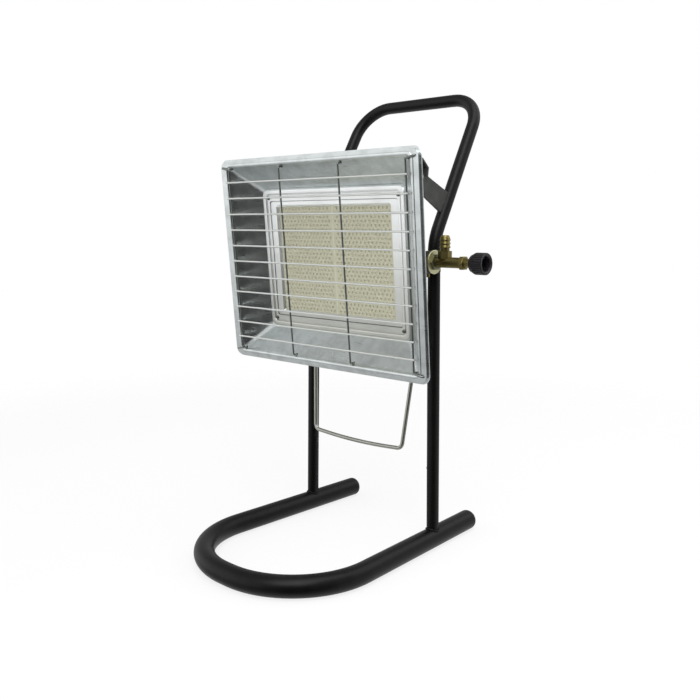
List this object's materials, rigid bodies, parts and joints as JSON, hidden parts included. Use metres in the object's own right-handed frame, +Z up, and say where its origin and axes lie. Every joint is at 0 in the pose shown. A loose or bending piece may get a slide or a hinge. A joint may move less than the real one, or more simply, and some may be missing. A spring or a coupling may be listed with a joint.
{
  "type": "portable propane heater",
  "caption": "Radiant gas heater head with a wire guard, tilting on a bent tube stand with a U foot, carrying handle, wire bail and push knob valve.",
  "frame": {"origin": "middle of the heater's outline on the floor, under the head", "axes": "+Z up; the heater faces -Y; +X to the heater's left-hand neighbour, the side the valve knob sticks out (right in a front view)"},
  "size_m": [0.3426, 0.3632, 0.5634],
  "materials": {
    "stand_paint": "satin black enamel",
    "plug_plastic": "matt black plastic",
    "strap_paint": "matt dark grey enamel",
    "zinc_yellow": "yellow zinc plating",
    "valve_brass": "dull turned brass",
    "dark_steel": "dark oiled steel",
    "stem_brass": "bright turned brass",
    "knob_plastic": "matt black knurled plastic",
    "reflector_sheet": "zinc-aluminium coated sheet",
    "frame_sheet": "bright aluminised sheet",
    "fibre": "ceramic fibre",
    "plaque_ceramic": "unglazed cordierite tile",
    "box_sheet": "aluminised sheet",
    "fastener_steel": "zinc-plated steel",
    "guard_wire": "bright drawn wire",
    "bail_steel": "bare drawn wire"
  },
  "bodies": {
    "stand": {"base_tube": "stand_paint", "base_plug_left": "plug_plastic", "base_plug_right": "plug_plastic", "handle_frame": "stand_paint", "strap_left": "strap_paint", "strap_right": "strap_paint", "valve_plate": "strap_paint", "valve_flange": "zinc_yellow", "valve_body": "valve_brass", "valve_nut": "dark_steel", "valve_locknut": "valve_brass", "valve_collar": "valve_brass", "outlet_elbow": "valve_brass", "inlet_barb": "valve_brass"},
    "knob": {"valve_stem": "stem_brass", "push_knob": "knob_plastic"},
    "bail": {"bail_wire": "bail_steel"},
    "head": {"reflector": "reflector_sheet", "burner_frame": "frame_sheet", "frame_gasket": "fibre", "plaque_bezel": "frame_sheet", "plaque_left": "plaque_ceramic", "plaque_right": "plaque_ceramic", "plaque_gasket": "fibre", "burner_box": "box_sheet", "burner_screws": "fastener_steel", "guard_verticals": "guard_wire", "guard_horizontals": "guard_wire", "tilt_lug_left": "box_sheet", "tilt_lug_right": "box_sheet", "tilt_bolts": "fastener_steel", "friction_washers": "fastener_steel", "nut_washers": "fastener_steel", "tilt_nuts": "fastener_steel", "mixing_tube": "box_sheet", "injector_yoke": "box_sheet", "injector": "valve_brass", "bail_lug_left": "box_sheet", "bail_lug_right": "box_sheet"}
  },
  "joints": [
    {"name": "head_tilt", "type": "hinge", "parent": "stand", "child": "head", "pos_m": [-0.01102, 0.03197, 0.4527], "axis": [1, 0, 0], "range_deg": [-20, 3]},
    {"name": "bail_swing", "type": "hinge", "parent": "head", "child": "bail", "pos_m": [-0.01102, 0.06446, 0.3], "axis": [1, 0, 0], "range_deg": [-25, 160]},
    {"name": "knob_push", "type": "slide", "parent": "stand", "child": "knob", "axis": [-1, 0, 0], "range_m": [0, 0.004], "stiffness_N_per_m": 800, "springref_m": -0.006}
  ]
}
